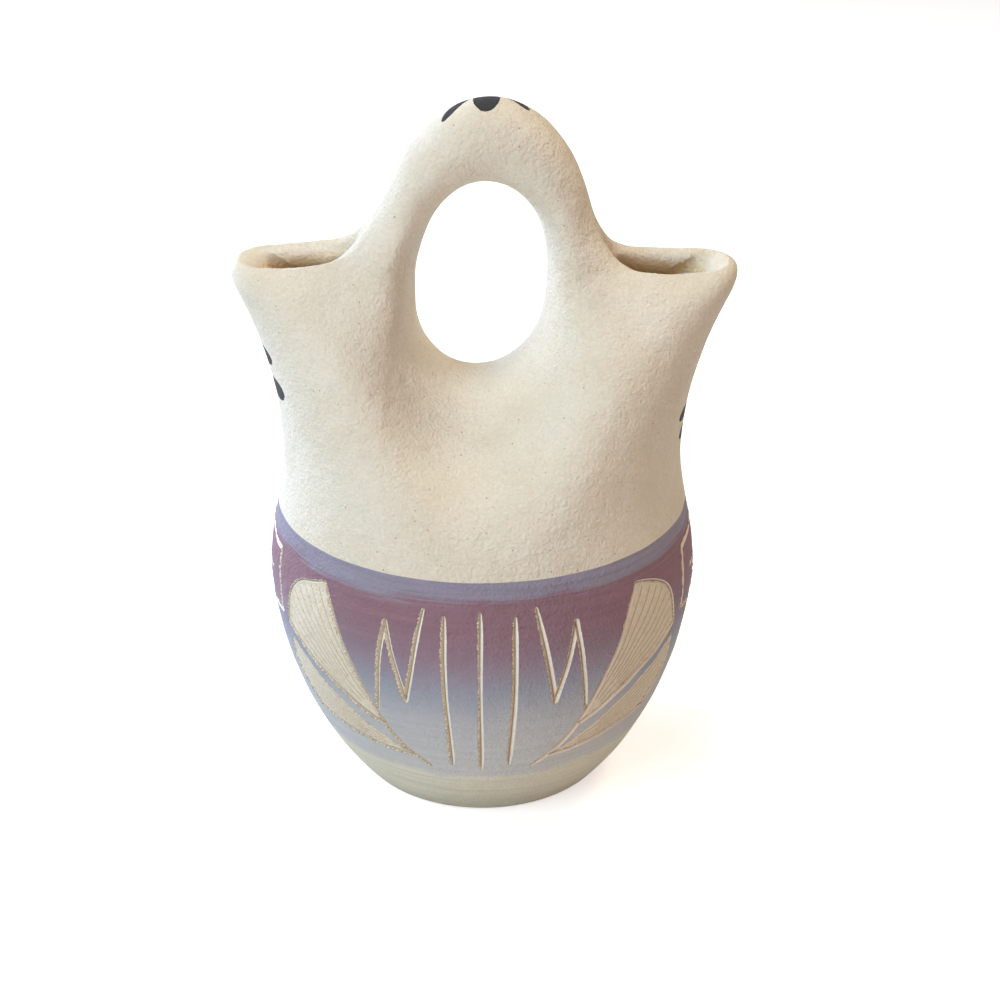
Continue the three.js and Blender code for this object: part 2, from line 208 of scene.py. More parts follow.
def handle_distance(x, y, z):
    across = x - HANDLE_LEAN * (z - OPENING_MIDDLE)
    up = z - OPENING_MIDDLE
    inner = ellipse_distance(across, up, OPENING_HALF_WIDTH, OPENING_HALF_HEIGHT)
    outer = ellipse_distance(across, up, HANDLE_HALF_WIDTH, HANDLE_HALF_HEIGHT)
    thickness = np.maximum(inner - outer, TINY)
    place = (inner + outer) / thickness
    climb = ease((z - RIM_HEIGHT) / (OPENING_TOP - RIM_HEIGHT))
    depth = ROOT_HALF_DEPTH + (CROWN_HALF_DEPTH - ROOT_HALF_DEPTH) * climb
    scaled = np.hypot(place, y / depth)
    slope = np.hypot(2 * place / thickness, y / depth**2) + TINY
    return soft_max((scaled - 1) * scaled / slope, RIM_HEIGHT - ROOT_DEPTH - z, ROOT_END_ROUND)


def clay_distance(x, y, z):
    sweep = ease(-form_distance(x, y, z) / LIP_THICKNESS)
    shell = np.maximum(pot_distance(x, y, z), -cavity_distance(x, y, z))
    rimmed = soft_max(shell, above_rim(x, y, z), LIP_ROUND)
    joined = soft_min(rimmed, handle_distance(x, y, z), ROOT_BLEND + (MOUTH_BLEND - ROOT_BLEND) * sweep)
    return soft_max(joined, -opening_distance(x, y, z), OPENING_TRIM) - hand_swell(x, y, z)


def shoulder_distance(x, y, z):
    return np.maximum(outside_distance(x, y, z), -cavity_distance(x, y, z)) - hand_swell(x, y, z)


def slope_of(distance, points, step=0.02 * MM):
    slopes = []
    for axis in range(3):
        shift = np.zeros(3)
        shift[axis] = step
        ahead = distance(*np.moveaxis(points + shift, -1, 0))
        behind = distance(*np.moveaxis(points - shift, -1, 0))
        slopes.append((ahead - behind) / (2 * step))
    return np.stack(slopes, -1)


# Meshing a form between two level planes: one point for each crossed cell, squares between them
def grid_values(distance, low, high, cell):
    counts = np.maximum(np.round((high - low) / cell), 1).astype(int)
    step = (high - low) / counts
    lines = [low[a] + (np.arange(counts[a] + 3) - 1) * step[a] for a in range(3)]
    values = distance(*np.meshgrid(*lines, indexing="ij"))
    for axis in range(3):
        ends = np.moveaxis(values, axis, 0)
        ends[[0, -1]] = cell
    return values, low - step, step


def cell_points(values):
    inside = values < 0
    shape = np.array(values.shape) - 1
    count = sum(inside[i:i + shape[0], j:j + shape[1], k:k + shape[2]].astype(np.int8)
                for i in (0, 1) for j in (0, 1) for k in (0, 1))
    cells = np.argwhere((count > 0) & (count < 8))
    total = np.zeros((2, len(cells), 3))
    found = np.zeros((2, len(cells)))
    for axis in range(3):
        others = [a for a in range(3) if a != axis]
        for corner in ((0, 0), (0, 1), (1, 0), (1, 1)):
            start = np.zeros(3, int)
            start[others] = corner
            a = values[tuple((cells + start).T)]
            end = start.copy()
            end[axis] = 1
            b = values[tuple((cells + end).T)]
            crossed = (a < 0) != (b < 0)
            place = np.tile(start.astype(float), (len(cells), 1))
            place[:, axis] += np.where(crossed, a / np.where(crossed, a - b, 1), 0)
            level = int(axis < 2)
            total[level][crossed] += place[crossed]
            found[level][crossed] += 1
    every = (total[0] + total[1]) / (found[0] + found[1])[:, None]
    outline = total[1] / np.maximum(found[1], 1)[:, None]
    return cells, every, outline, found[1] > 0


def squares(values, cells):
    number = np.full(np.array(values.shape) - 1, -1)
    number[tuple(cells.T)] = np.arange(len(cells))
    inside = values < 0
    faces = []
    for axis in range(3):
        side, other = (axis + 1) % 3, (axis + 2) % 3
        along = np.moveaxis(inside, axis, 0)
        edges = np.argwhere(np.moveaxis(along[:-1] != along[1:], 0, axis))
        edges = edges[(edges[:, side] > 0) & (edges[:, other] > 0)]
        corners = []
        for back_side, back_other in ((1, 1), (0, 1), (0, 0), (1, 0)):
            at = edges.copy()
            at[:, side] -= back_side
            at[:, other] -= back_other
            corners.append(number[tuple(at.T)])
        square = np.stack(corners, 1)
        starts_outside = ~inside[tuple(edges.T)]
        square[starts_outside] = square[starts_outside][:, ::-1]
        faces.append(square)
    return np.concatenate(faces)


# Points moved onto the form, the way they are free to go; one that strays too far goes back
def settle(distance, points, freedom, reach, rounds=4):
    moved = points.copy()
    for _ in range(rounds):
        slope = slope_of(distance, moved) * freedom
        size = (slope * slope).sum(1) + TINY
        moved -= slope * (distance(*moved.T) / size)[:, None]
    stray = np.linalg.norm(moved - points, axis=1) > reach
    moved[stray] = points[stray]
    return moved


def level_surface(distance, low, high, cell):
    low, high = np.array(low), np.array(high)
    values, origin, step = grid_values(distance, low, high, cell)
    cells, every, outline, on_outline = cell_points(values)
    layer = cells[:, 2]
    flat = (layer == 0) | (layer == values.shape[2] - 2)
    place = np.where((flat & on_outline)[:, None], outline, every)
    points = origin + (cells + place) * step
    points[:, 2] = np.where(layer == 0, low[2], np.where(flat, high[2], points[:, 2]))
    freedom = np.ones((len(cells), 3))
    freedom[flat, 2] = 0
    freedom[flat & ~on_outline] = 0
    points = settle(distance, points, freedom, 1.5 * cell)
    return points, squares(values, cells), flat


def new_mesh(name, points, faces, corner_normals):
    mesh = bpy.data.meshes.new(name)
    mesh.from_pydata(points.tolist(), [], faces)
    mesh.shade_smooth()
    mesh.normals_split_custom_set(corner_normals.tolist())
    piece = bpy.data.objects.new(name, mesh)
    bpy.context.scene.collection.objects.link(piece)
    return piece


def unit(vectors):
    return vectors / (np.linalg.norm(vectors, axis=-1, keepdims=True) + TINY)


# A piece of the form between two level planes, with the form's own normals off its flat ends
def clay_member(name, distance, low, high, cell):
    points, faces, flat = level_surface(distance, low, high, cell)
    normals = unit(slope_of(distance, points))
    corner_normals = normals[faces]
    heights = points[faces][:, :, 2]
    level = flat[faces].all(1) & (np.ptp(heights, axis=1) < TINY)
    up = np.where(heights[level, 0] > (low[2] + high[2]) / 2, 1.0, -1.0)
    corner_normals[level] = up[:, None, None] * np.array([0, 0, 1])
    return new_mesh(name, points, faces.tolist(), corner_normals.reshape(-1, 3))


def set_attribute(piece, name, values):
    layer = piece.data.attributes.new(name, "FLOAT", "POINT")
    layer.data.foreach_set("value", values.astype(np.float32))


def mesh_points(piece):
    flat = np.empty(len(piece.data.vertices) * 3)
    piece.data.vertices.foreach_get("co", flat)
    return flat.reshape(-1, 3)


# Rings of points round the axis, the first over the front of the vase
def ring(radii, angles, z):
    return np.stack([radii * np.sin(angles), -radii * np.cos(angles), z + 0 * radii], -1)


def strip_normals(rings):
    along = np.roll(rings, -1, 1) - np.roll(rings, 1, 1)
    across = np.gradient(rings, axis=0, edge_order=min(2, len(rings) - 1))
    return unit(np.cross(along, across))


def strip_corner_normals(strip):
    normals = strip_normals(strip)
    beside = np.roll(normals, -1, 1)
    return np.stack([normals[:-1], beside[:-1], beside[1:], normals[1:]], 2).reshape(-1, 3)


def squares_between(lower, upper):
    sides = [lower, np.roll(lower, -1, 1), np.roll(upper, -1, 1), upper]
    return np.stack(sides, -1).reshape(-1, 4).tolist()


# Hollow piece of strips of rings: each strip starts on the ring where the one before it ends
def hollow_piece(name, strips):
    rings = np.concatenate([strip[:-1] for strip in strips])
    number = np.arange(rings[..., 0].size).reshape(rings.shape[:2])
    faces = squares_between(number, np.roll(number, -1, 0))
    corner_normals = np.concatenate([strip_corner_normals(strip) for strip in strips])
    return new_mesh(name, rings.reshape(-1, 3), faces, corner_normals)


# Solid piece with one wall of rings, flat below and above
def solid_piece(name, rings):
    number = np.arange(rings[..., 0].size).reshape(rings.shape[:2])
    faces = squares_between(number[:-1], number[1:])
    faces += [number[0, ::-1].tolist(), number[-1].tolist()]
    ends = np.repeat([[0, 0, -1], [0, 0, 1]], rings.shape[1], axis=0)
    corner_normals = np.concatenate([strip_corner_normals(rings), ends])
    return new_mesh(name, rings.reshape(-1, 3), faces, corner_normals)


# Etching of the band
STROKE = 0.75 * MM
EDGE_STROKE = 0.45 * MM
STROKE_DEPTH = 0.8 * MM
RIB = 0.2 * MM
RIB_DEPTH = 0.15 * MM
FAN_DEPTH = 0.3 * MM
BURR = 0.3 * MM
CRISP_LIP = 0.12 * MM
TREMOR = 0.22 * MM
THIN_END = 0.35
TAPER_ENDS = 9
LEFT_LEAN = 0.15
FAR = 1.0

# Lines etched in one quarter of the band: degrees from the front, and shares of the bowl's height
STRAIGHT_LINES = [
    [(0, 0.91), (0, 0.28)],
    [(9, 0.89), (8.5, 0.3)],
    [(14, 0.91), (19.5, 0.57), (24.5, 0.85), (29, 0.5)],
    [(90, 0.92), (68, 0.91), (66, 0.7), (82, 0.67), (84, 0.8), (75, 0.8)],
    [(90, 0.55), (76, 0.3)],
    [(90, 0.43), (82, 0.3)],
]
PLUME_SWEEP = [(15, 0.28), (26, 0.42), (44, 0.91)]
FANS = [
    {"tip": (27, 0.44), "edge": [(44, 0.91), (57, 0.84), (62, 0.68)], "ribs": 8},
    {"tip": (20, 0.32), "edge": [(62, 0.63), (62, 0.5), (55, 0.38)], "ribs": 7},
]
FAN_RIB_STARTS = (0.22, 0.38)
FAN_RIB_END = 0.97


# Way up the wall, stretched so that shapes keep their angles on the round form
def wall_run(z):
    heights = np.linspace(0, BODY_SEAM + 5 * MM, 461)
    radii = body_radius(heights)
    growth = BELLY_RADIUS / radii * np.hypot(np.gradient(radii, heights), 1)
    run = np.concatenate([[0], np.cumsum(growth[:-1] * np.diff(heights))])
    return np.interp(z, heights, run)


def unrolled(places):
    angles, shares = np.array(places, float).T
    return np.stack([np.radians(angles) * BELLY_RADIUS, wall_run(shares * BODY_SEAM)], 1)


# Places between the given ones, evenly in angle and height
def straight(places, steps=6):
    walk = np.linspace(0, len(places) - 1, (len(places) - 1) * steps + 1)
    return np.stack([np.interp(walk, range(len(places)), column) for column in zip(*places)], 1)


def smooth_curve(points, steps=12):
    ends = np.vstack([2 * points[0] - points[1], points, 2 * points[-1] - points[-2]])
    t = np.linspace(0, 1, steps, endpoint=False)[:, None]
    pieces = []
    for a, b, c, d in zip(ends, ends[1:], ends[2:], ends[3:]):
        bend = (2 * a - 5 * b + 4 * c - d) * t**2 + (3 * b - a - 3 * c + d) * t**3
        pieces.append((2 * b + (c - a) * t + bend) / 2)
    return np.vstack([*pieces, points[-1:]])


# Nearest point of a line of straight stretches: how far off it is, the way from it,
# and the share of the line that lies before it
def nearest_on_line(across, up, line):
    nearest = np.full(across.shape, FAR)
    way = np.zeros((2, *across.shape))
    share = np.zeros(across.shape)
    lengths = np.hypot(*np.diff(line, axis=0).T)
    walked = np.concatenate([[0], np.cumsum(lengths)])
    for start, end, length, before in zip(line, line[1:], lengths, walked):
        run = (end - start) / (length + TINY)
        along = np.clip((across - start[0]) * run[0] + (up - start[1]) * run[1], 0, length)
        beside = across - start[0] - along * run[0]
        above = up - start[1] - along * run[1]
        off = np.hypot(beside, above)
        closer = off < nearest
        nearest = np.where(closer, off, nearest)
        way = np.where(closer, [beside, above], way)
        share = np.where(closer, (before + along) / walked[-1], share)
    return nearest, way, share


def area_distance(across, up, outline):
    closed = np.vstack([outline, outline[:1]])
    off = nearest_on_line(across, up, closed)[0]
    inside = np.zeros(across.shape, bool)
    for a, b in zip(closed, closed[1:]):
        crosses = (a[1] > up) != (b[1] > up)
        inside ^= crosses & (across < (b[0] - a[0]) * (up - a[1]) / (b[1] - a[1] + TINY) + a[0])
    return np.where(inside, -off, off)


def point_along(line, share):
    places = np.linspace(0, 1, len(line))
    return np.array([np.interp(share, places, line[:, 0]), np.interp(share, places, line[:, 1])])


# Ribs that spread from the tip of a fan towards its edge, in turn long and short
def rib_lines(tip, edge, count):
    ribs = []
    for rib in range(1, count + 1):
        way = point_along(edge, rib / (count + 1)) - tip
        ribs.append(np.array([tip + way * FAN_RIB_STARTS[rib % 2], tip + way * FAN_RIB_END]))
    return ribs


def band_lines():
    strokes = [(unrolled(straight(places)), STROKE) for places in STRAIGHT_LINES]
    strokes.append((smooth_curve(unrolled(PLUME_SWEEP)), STROKE))
    areas, ribs = [], []
    for fan in FANS:
        edge = smooth_curve(unrolled(fan["edge"]))
        first = unrolled(straight([fan["tip"], fan["edge"][0]]))
        last = unrolled(straight([fan["edge"][-1], fan["tip"]]))
        strokes += [(first, EDGE_STROKE), (edge, EDGE_STROKE), (last, STROKE)]
        areas.append(np.vstack([first[:-1], edge, last[1:-1]]))
        ribs += rib_lines(first[0], edge, fan["ribs"])
    return strokes, areas, ribs


# Distances at places on the wall, negative inside: to the strokes' edges, to the fans and to their ribs.
# The side is the distance to the middle of the nearest stroke, negative on its left.
# The layout mirrors from left to right and repeats behind.
def band_distances(angle, z):
    turned = (angle + math.pi / 2) % math.pi - math.pi / 2
    tremor = TREMOR * (np.sin(9 * angle + 0.7) + 0.6 * np.sin(23 * angle + z / (7 * MM)))
    across = np.abs(turned) * BELLY_RADIUS + tremor
    up = wall_run(z) + TREMOR * (np.sin(11 * angle + 1.9) + 0.6 * np.sin(31 * angle + z / (5 * MM)))
    scale = body_radius(z) / BELLY_RADIUS
    strokes, areas, ribs = band_lines()
    stroke, side, fan, rib = (np.full(angle.shape, FAR) for _ in range(4))
    for line, half_width in strokes:
        off, (beside, above), share = nearest_on_line(across, up, line)
        taper = np.sqrt(np.clip(TAPER_ENDS * np.minimum(share, 1 - share), 0, 1))
        edge = off * scale - half_width * (THIN_END + (1 - THIN_END) * taper)
        on_right = np.sign(turned) * beside > LEFT_LEAN * above
        nearer = edge < stroke
        stroke = np.where(nearer, edge, stroke)
        side = np.where(nearer, np.where(on_right, off, -off) * scale, side)
    for outline in areas:
        fan = np.minimum(fan, area_distance(across, up, outline) * scale)
    for line in ribs:
        rib = np.minimum(rib, nearest_on_line(across, up, line)[0] * scale - RIB)
    return {"stroke": stroke, "side": side, "fan": fan, "rib": rib}


# Lumps of the crumbs along a stroke, and how wide the edges of the strokes and fans run out
LUMP = 0.9 * MM
LUMP_SEED = 5
BURR_MIDDLE = 0.05 * MM
BURR_WIDTH = 0.3 * MM
SCRAPED_EDGE = 0.5 * MM
RIB_EDGE = 0.35 * MM
RIBS_END = 0.4 * MM


# Smooth random values round the wall and up it, which close up behind
def wall_lumps(angle, z):
    columns = int(round(2 * math.pi * BELLY_RADIUS / LUMP))
    rows = int(round(BODY_SEAM / LUMP)) + 2
    lattice = np.random.default_rng(LUMP_SEED).uniform(-1, 1, (rows, columns))
    u = angle / (2 * math.pi) * columns
    v = z / LUMP
    i, j = np.floor(v).astype(int), np.floor(u).astype(int)
    s, t = ease(v - i), ease(u - j)
    low = lattice[i, j % columns] * (1 - t) + lattice[i, (j + 1) % columns] * t
    high = lattice[i + 1, j % columns] * (1 - t) + lattice[i + 1, (j + 1) % columns] * t
    return low * (1 - s) + high * s


# How far the etching lifts or sinks the wall: grooves with crumbs thrown up on their left, and scraped fans
def band_relief(angle, z, stroke, side, fan, rib):
    groove = STROKE_DEPTH * np.clip(-stroke / STROKE, 0, 1)
    lumps = np.clip(0.5 + 0.9 * wall_lumps(angle, z), 0, 1)
    near_edge = np.exp(-((stroke - BURR_MIDDLE) / BURR_WIDTH) ** 2)
    burr = near_edge * np.where(side < 0, BURR * lumps, CRISP_LIP)
    scraped = FAN_DEPTH * ease(-fan / SCRAPED_EDGE)
    rib_cut = RIB_DEPTH * ease(-rib / RIB_EDGE + 0.6) * ease(-fan / RIBS_END)
    return burr - np.maximum(groove, scraped + rib_cut)


def wall_grid(heights):
    angles = np.arange(WALL_COLUMNS) * 2 * math.pi / WALL_COLUMNS
    z, angle = np.meshgrid(heights, angles, indexing="ij")
    return angle, z


# Levels of the outer wall, close together where it is etched
def outer_levels():
    shares = [share for line in [*STRAIGHT_LINES, PLUME_SWEEP] for _, share in line]
    low = min(shares) * BODY_SEAM - ETCHED_MARGIN
    high = max(shares) * BODY_SEAM + ETCHED_MARGIN
    foot = np.linspace(FLOOR_TOP, low, PLAIN_ROWS, endpoint=False)
    etched = np.linspace(low, high, ETCHED_ROWS, endpoint=False)
    return np.concatenate([foot, etched, np.linspace(high, BODY_SEAM, TOP_ROWS)])


def build_bowl():
    angle, z = wall_grid(outer_levels())
    distances = band_distances(angle, z)
    swell = hand_swell(*np.moveaxis(ring(body_radius(z), angle, z), -1, 0))
    outer = ring(body_radius(z) + swell + band_relief(angle, z, **distances), angle, z)
    corner = FLOOR_CORNER_ROUND * (1 - np.cos(np.linspace(math.pi / 2, 0, CORNER_ROWS)))
    straight_wall = np.linspace(BODY_SEAM, FLOOR_TOP + FLOOR_CORNER_ROUND, HOLLOW_ROWS)
    angle, z = wall_grid(np.concatenate([straight_wall, FLOOR_TOP + corner[1:]]))
    inner = ring(hollow_radius(z), angle, z)
    rim = np.stack([outer[-1], inner[0]])
    foot = np.stack([inner[-1], outer[0]])
    piece = hollow_piece("bowl_etched", [outer, rim, inner, foot])
    for name, values in distances.items():
        everywhere = np.full(len(piece.data.vertices), FAR)
        everywhere[:values.size] = values.ravel()
        set_attribute(piece, name, everywhere)
    return piece


def hollow_radius(z):
    down = np.clip(1 - (z - FLOOR_TOP) / FLOOR_CORNER_ROUND, 0, 1)
    corner = FLOOR_CORNER_ROUND * (1 - np.sqrt(1 - down * down))
    return body_radius(z) - WALL - corner


def build_disc():
    turn = FOOT_EDGE_ROUND * (1 - np.cos(np.linspace(0, math.pi / 2, FOOT_ROWS)))
    side = np.linspace(FOOT_EDGE_ROUND, FLOOR_TOP, FOOT_ROWS)[1:]
    angle, z = wall_grid(np.concatenate([turn, side]))
    swell = hand_swell(*np.moveaxis(ring(body_radius(z), angle, z), -1, 0)) * ease(z / SWELL_START)
    return solid_piece("base_disc_clay", ring(body_radius(z) + swell, angle, z))


# Painted petals on the crest of the handle and on the flanks, in millimetres:
# middle, directions across and along, half width across and half length along
FORE_AND_AFT = (0, 1, 0)
UPRIGHT = (0, 0, 1)
CREST_PETALS = [
    {"middle": (1.7, -0.5, 199.5), "across": (1, 0, 0), "along": FORE_AND_AFT,
     "half_width": 3.6, "half_length": 6.4},
    {"middle": (-6.4, -1.0, 197.5), "across": (0.66, -0.7, 0.27), "along": (0.66, 0.7, 0.27),
     "half_width": 1.7, "half_length": 6.0},
    {"middle": (9.2, 1.3, 198.4), "across": (0.68, 0.7, -0.2), "along": (0.68, -0.7, -0.2),
     "half_width": 1.8, "half_length": 5.6},
]
FLANK_PETALS = [
    {"middle": (-57, -9.4, 132.2), "half_width": 2.6},
    {"middle": (-54, -13.8, 123.7), "half_width": 2.9},
    {"middle": (55, -11.4, 115.9), "half_width": 2.2},
    {"middle": (55.2, -8.9, 109.6), "half_width": 2.2},
]
FLANK_PETAL = {"across": UPRIGHT, "along": FORE_AND_AFT, "half_length": 6.3}
PETAL_REACH = 14 * MM


# The same petals on the side of the vase that faces away
def behind(petal):
    x, y, z = petal["middle"]
    return {**petal, "middle": (x, -y, z)}


def petal_distance(points, petal):
    offset = points - np.array(petal["middle"]) * MM
    across, along = offset @ np.array(petal["across"]), offset @ np.array(petal["along"])
    near = np.linalg.norm(offset, axis=1) < PETAL_REACH
    distance = ellipse_distance(across, along, petal["half_width"] * MM, petal["half_length"] * MM)
    return np.where(near, distance, FAR)


# How deep in the clay each point lies, which tells the hollow's inner wall from the outside
def mark_inside(piece):
    place = mesh_points(piece).T
    set_attribute(piece, "inside", -np.maximum(outside_distance(*place), above_rim(*place)))


def mark_petals(piece):
    flanks = [{**FLANK_PETAL, **petal} for petal in FLANK_PETALS]
    petals = CREST_PETALS + flanks + [behind(petal) for petal in flanks]
    points = mesh_points(piece)
    set_attribute(piece, "petal", np.min([petal_distance(points, petal) for petal in petals], axis=0))


# Shader graphs
CLAY_SPECULAR = 0.25


def srgb(red, green, blue):
    shares = [value / 255 for value in (red, green, blue)]
    linear = [v / 12.92 if v <= 0.04045 else ((v + 0.055) / 1.055) ** 2.4 for v in shares]
    return (*linear, 1)


class Graph:
    def __init__(self, tree):
        self.tree = tree

    def node(self, kind, inputs, output=0, **settings):
        made = self.tree.nodes.new(kind)
        for name, value in settings.items():
            setattr(made, name, value)
        for name, value in inputs.items():
            self.put(made.inputs[name], value)
        return made.outputs[output]

    def put(self, socket, value):
        if isinstance(value, bpy.types.NodeSocket):
            self.tree.links.new(value, socket)
        else:
            socket.default_value = value

    def math(self, operation, *values):
        return self.node("ShaderNodeMath", dict(enumerate(values)), operation=operation)

    # 1 for rays from the camera or by way of a mirror or glass, else 0
    def seen_directly(self):
        seen = self.node("ShaderNodeLightPath", {}, "Is Camera Ray")
        for name in ("Is Glossy Ray", "Is Transmission Ray"):
            seen = self.math("MAXIMUM", seen, self.node("ShaderNodeLightPath", {}, name))
        return seen


class Finish(Graph):
    def __init__(self, name):
        self.material = bpy.data.materials.new(name)
        self.material.use_nodes = True
        super().__init__(self.material.node_tree)
        self.surface = self.tree.nodes["Principled BSDF"]

    def place(self, stretch=(1, 1, 1)):
        position = self.node("ShaderNodeTexCoord", {}, "Object")
        scaled = {0: position, 1: stretch}
        return self.node("ShaderNodeVectorMath", scaled, operation="MULTIPLY")

    def height(self):
        return self.node("ShaderNodeSeparateXYZ", {0: self.place()}, "Z")

    # Noise from -1 to 1 with lumps of about the given size
    def noise(self, size, detail=2.0, stretch=(1, 1, 1)):
        inputs = {"Vector": self.place(stretch), "Scale": 1 / size, "Detail": detail}
        value = self.node("ShaderNodeTexNoise", inputs, "Fac")
        return self.math("MULTIPLY_ADD", value, 4.0, -2.0)

    # Goes from 0 to 1 as the value rises through the given place
    def rise(self, value, at, width):
        inputs = {"Value": value, "From Min": at - width / 2, "From Max": at + width / 2}
        return self.node("ShaderNodeMapRange", inputs, interpolation_type="SMOOTHSTEP")

    def mix(self, share, low, high):
        inputs = {"Factor": share, "A": low, "B": high}
        made = self.tree.nodes.new("ShaderNodeMix")
        made.data_type = "RGBA"
        for socket in made.inputs:
            if socket.name in inputs and socket.type in ("VALUE", "RGBA") and socket.enabled:
                self.put(socket, inputs[socket.name])
        return [socket for socket in made.outputs if socket.enabled][0]

    def attribute(self, name):
        return self.node("ShaderNodeAttribute", {}, "Fac", attribute_name=name)

    def ramp(self, value, stops):
        made = self.tree.nodes.new("ShaderNodeValToRGB")
        elements = made.color_ramp.elements
        while len(elements) < len(stops):
            elements.new(1)
        for element, (place, colour) in zip(elements, stops):
            element.position = place
            element.color = colour
        self.put(made.inputs[0], value)
        return made.outputs[0]

    # Dots at the given spacing, at a share of the places only, with radii up to the given one
    def dots(self, spacing, radius, share):
        place = self.node("ShaderNodeVectorMath", {0: self.place(), 3: 1 / spacing}, operation="SCALE")
        cells = self.tree.nodes.new("ShaderNodeTexVoronoi")
        self.put(cells.inputs["Vector"], place)
        self.put(cells.inputs["Scale"], 1.0)
        pick = self.node("ShaderNodeSeparateColor", {0: cells.outputs["Color"]}, "Red")
        size = self.math("MULTIPLY", self.math("SUBTRACT", share, pick), radius / spacing / share)
        return self.rise(self.math("SUBTRACT", size, cells.outputs["Distance"]), 0, 0.25 * radius / spacing)

    # Round crumbs packed at about the given spacing: 1 on their tops and 0 between them
    def crumbs(self, spacing):
        place = self.node("ShaderNodeVectorMath", {0: self.place(), 3: 1 / spacing}, operation="SCALE")
        from_middle = self.node("ShaderNodeTexVoronoi", {"Vector": place, "Scale": 1.0}, "Distance")
        return self.math("SUBTRACT", 1.0, self.rise(from_middle, 0.5, 0.4))

    # One dark spot round a place in millimetres, with a radius in millimetres
    def spot(self, place, radius):
        ends = {0: self.place(), 1: [value * MM for value in place]}
        away = self.node("ShaderNodeVectorMath", ends, "Value", operation="DISTANCE")
        return self.math("SUBTRACT", 1.0, self.rise(away, radius * MM, 0.6 * radius * MM))

    def finish(self, colour, height, roughness):
        bump = {"Height": height, "Strength": 1.0, "Distance": 1.0}
        self.put(self.surface.inputs["Base Color"], colour)
        self.put(self.surface.inputs["Roughness"], roughness)
        self.put(self.surface.inputs["Specular IOR Level"], CLAY_SPECULAR)
        self.put(self.surface.inputs["Normal"], self.node("ShaderNodeBump", bump))
        return self.material


# Fine relief of smoothed clay: sizes of its lumps and pits, and their heights
GRAIN_SIZE = 0.8 * MM
GRAIN_HEIGHT = 0.11 * MM
SMOOTHING_SIZE = 3.5 * MM
SMOOTHING_HEIGHT = 0.16 * MM
PIT_SPACING = 2.2 * MM
PIT_RADIUS = 0.4 * MM
PIT_SHARE = 0.25
PIT_DEPTH = 0.12 * MM


def clay_grain(finish):
    grain = finish.math("MULTIPLY", finish.noise(GRAIN_SIZE, 4.0), GRAIN_HEIGHT)
    smoothing = finish.math("MULTIPLY", finish.noise(SMOOTHING_SIZE, 3.0), SMOOTHING_HEIGHT)
    pits = finish.math("MULTIPLY", finish.dots(PIT_SPACING, PIT_RADIUS, PIT_SHARE), -PIT_DEPTH)
    return finish.math("ADD", finish.math("ADD", grain, smoothing), pits)


PALE = srgb(230, 223, 209)
PALE_WARM = srgb(224, 214, 197)
# Lighter, warmer colour of the hollow's inner wall: painted warm light that stands in for light bouncing
# round inside the mouths
INSIDE_WARM_LIGHT = srgb(246, 224, 188)
PALE_SPECK = srgb(238, 232, 220)
IRON_SPECK = srgb(178, 152, 124)
DARK_SPECK = srgb(128, 114, 100)
CHARCOAL = srgb(56, 56, 59)
PATCH_SIZE = 16 * MM
MOTTLE_SIZE = 0.9 * MM
MOTTLE = 0.07

# Specks in the clay, in millimetres: spacing, largest radius, share of the places that have one, and colour
SPECKS = [
    (1.3, 0.26, 0.35, PALE_SPECK),
    (1.7, 0.25, 0.3, IRON_SPECK),
    (6.0, 0.3, 0.12, DARK_SPECK),
]

# Single dark marks left by firing, in millimetres: place and radius
FIRED_SPOTS = [
    ((-22.7, -11.6, 171.1), 0.42), ((-26.5, -18.4, 153.8), 0.36), ((-31.5, -18.3, 154.6), 0.3),
    ((-55.8, -19.3, 149.1), 0.4), ((42.6, -23.3, 147.1), 0.45), ((-33.0, -37.3, 124.5), 0.3),
    ((-32.4, -37.8, 123.6), 0.26), ((-31.7, -38.4, 122.4), 0.28), ((-31.2, -38.9, 121.5), 0.42),
    ((-22.4, -43.0, 122.3), 0.28),
]


def pale_clay_colour(finish):
    colour = finish.mix(finish.rise(finish.noise(PATCH_SIZE), 0.2, 2.0), PALE, PALE_WARM)
    mottle = finish.math("MULTIPLY_ADD", finish.noise(MOTTLE_SIZE, 4.0), MOTTLE, 1.0)
    colour = finish.node("ShaderNodeVectorMath", {0: colour, 3: mottle}, operation="SCALE")
    for spacing, radius, share, speck in SPECKS:
        colour = finish.mix(finish.dots(spacing * MM, radius * MM, share), colour, speck)
    for place, radius in FIRED_SPOTS:
        colour = finish.mix(finish.spot(place, radius), colour, DARK_SPECK)
    return colour


# Brushed edge of the painted petals, and how deep in the clay the painted warm light on the hollow's inner
# wall starts
PETAL_WOBBLE = 0.12 * MM
PETAL_WOBBLE_SIZE = 1.2 * MM
PETAL_EDGE = 0.16 * MM
LIT_INSIDE_DEPTH = 4.5 * MM
LIT_INSIDE_FADE = 4 * MM


def pale_clay():
    finish = Finish("pale_clay")
    wobble = finish.math("MULTIPLY", finish.noise(PETAL_WOBBLE_SIZE, 3.0), PETAL_WOBBLE)
    petal = finish.math("ADD", finish.attribute("petal"), wobble)
    painted = finish.rise(petal, 0, PETAL_EDGE)
    # Painted light: the inner wall, deep in the clay, turns lighter and warmer as if lit by light bouncing
    # inside
    lit_inside = finish.rise(finish.attribute("inside"), LIT_INSIDE_DEPTH, LIT_INSIDE_FADE)
    clay = finish.mix(lit_inside, pale_clay_colour(finish), INSIDE_WARM_LIGHT)
    colour = finish.mix(painted, CHARCOAL, clay)
    return finish.finish(colour, clay_grain(finish), roughness=0.88)


